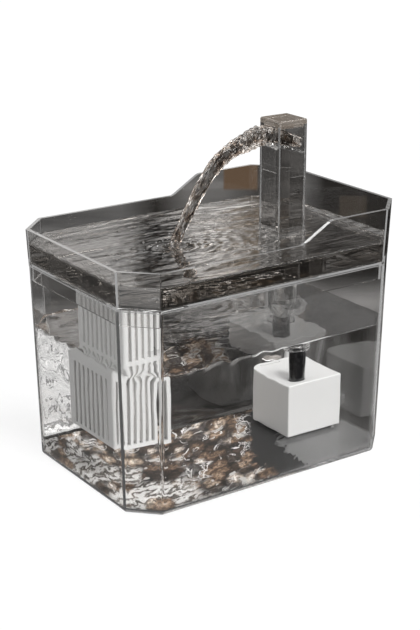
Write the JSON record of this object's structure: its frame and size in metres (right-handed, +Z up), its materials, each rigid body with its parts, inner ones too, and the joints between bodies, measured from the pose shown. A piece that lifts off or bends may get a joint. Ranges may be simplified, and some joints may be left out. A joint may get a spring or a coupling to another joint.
{
  "type": "pet water fountain",
  "caption": "Clear smoked water tank with a lift-out drinking tray, square spout tower fed by a submersible pump, and a slatted white filter cage; USB power cord.",
  "frame": {"origin": "centre of the tank underside, on the surface it stands on", "axes": "+X along the long front wall towards the spout tower, +Y to the back, +Z up"},
  "size_m": [0.2593, 0.2263, 0.2237],
  "materials": {
    "smoked_clear": "polished, transparent",
    "white_plastic": "fine matt",
    "black_rubber": "smooth",
    "grey_rubber": "smooth",
    "clear_rubber": "smooth",
    "white_cable": "smooth",
    "motor_plastic": "fine matt",
    "filter_fibre": "felted fibre",
    "carbon": "filled pouch",
    "foam": "open foam",
    "copper": "enamelled wire",
    "core_steel": "laminated",
    "magnet": "satin",
    "shaft_ceramic": "polished",
    "plug_steel": "polished",
    "contact_gold": "plated"
  },
  "bodies": {
    "tank_body": {"tank": "smoked_clear", "riser_tube": "black_rubber", "pump_case": "white_plastic", "suction_cups": "clear_rubber", "motor_housing": "motor_plastic", "motor_end_cap": "motor_plastic", "stator_core": "core_steel", "stator_coil": "copper", "motor_lead": "white_cable", "volute_cover": "motor_plastic", "outlet_nozzle": "motor_plastic", "impeller_shaft": "shaft_ceramic", "shaft_bushes": "grey_rubber", "cable_gland": "white_cable", "cable_grommet": "grey_rubber", "cable_run": "white_cable", "cable_coil": "white_cable", "coil_tie": "white_plastic", "cable_tail": "white_cable", "plug_relief": "white_cable", "plug_body": "white_plastic", "plug_shell": "plug_steel", "plug_tongue": "white_plastic", "plug_contacts": "contact_gold"},
    "tray_body": {"tray": "smoked_clear"},
    "tower_body": {"tower_column": "smoked_clear", "tower_cap": "smoked_clear", "spout_ramp": "smoked_clear", "tower_gasket": "clear_rubber", "tower_spigot": "smoked_clear", "spigot_collar": "clear_rubber"},
    "cage_body": {"filter_cage": "white_plastic"},
    "cartridge_body": {"filter_frame": "white_plastic", "filter_pad": "filter_fibre", "carbon_pack": "carbon"},
    "lid_body": {"drain_lid": "smoked_clear"},
    "cover_body": {"intake_cover": "white_plastic", "foam_sponge": "foam"},
    "impeller_body": {"impeller": "white_plastic", "rotor_magnet": "magnet"},
    "dial_body": {"flow_dial": "motor_plastic"}
  },
  "joints": [
    {"name": "tray_lift", "type": "slide", "parent": "tank_body", "child": "tray_body", "axis": [0, 0, 1], "range_m": [0, 0.115]},
    {"name": "tower_lift", "type": "slide", "parent": "tray_body", "child": "tower_body", "axis": [0, 0, 1], "range_m": [0, 0.125]},
    {"name": "cage_lift", "type": "slide", "parent": "tray_body", "child": "cage_body", "axis": [0, 0, 1], "range_m": [0, 0.145]},
    {"name": "cartridge_lift", "type": "slide", "parent": "cage_body", "child": "cartridge_body", "axis": [0, 0, 1], "range_m": [0, 0.105]},
    {"name": "lid_lift", "type": "slide", "parent": "cartridge_body", "child": "lid_body", "axis": [0, 0, 1], "range_m": [0, 0.03]},
    {"name": "cover_slide", "type": "slide", "parent": "tank_body", "child": "cover_body", "axis": [0, 1, 0], "range_m": [0, 0.008]},
    {"name": "impeller_spin", "type": "hinge", "parent": "tank_body", "child": "impeller_body", "pos_m": [0.067, 0, 0.02], "axis": [0, 1, 0], "continuous": true},
    {"name": "flow_dial_turn", "type": "hinge", "parent": "tank_body", "child": "dial_body", "pos_m": [0.067, 0, 0.02], "axis": [0, 1, 0], "range_deg": [0, 90]}
  ]
}
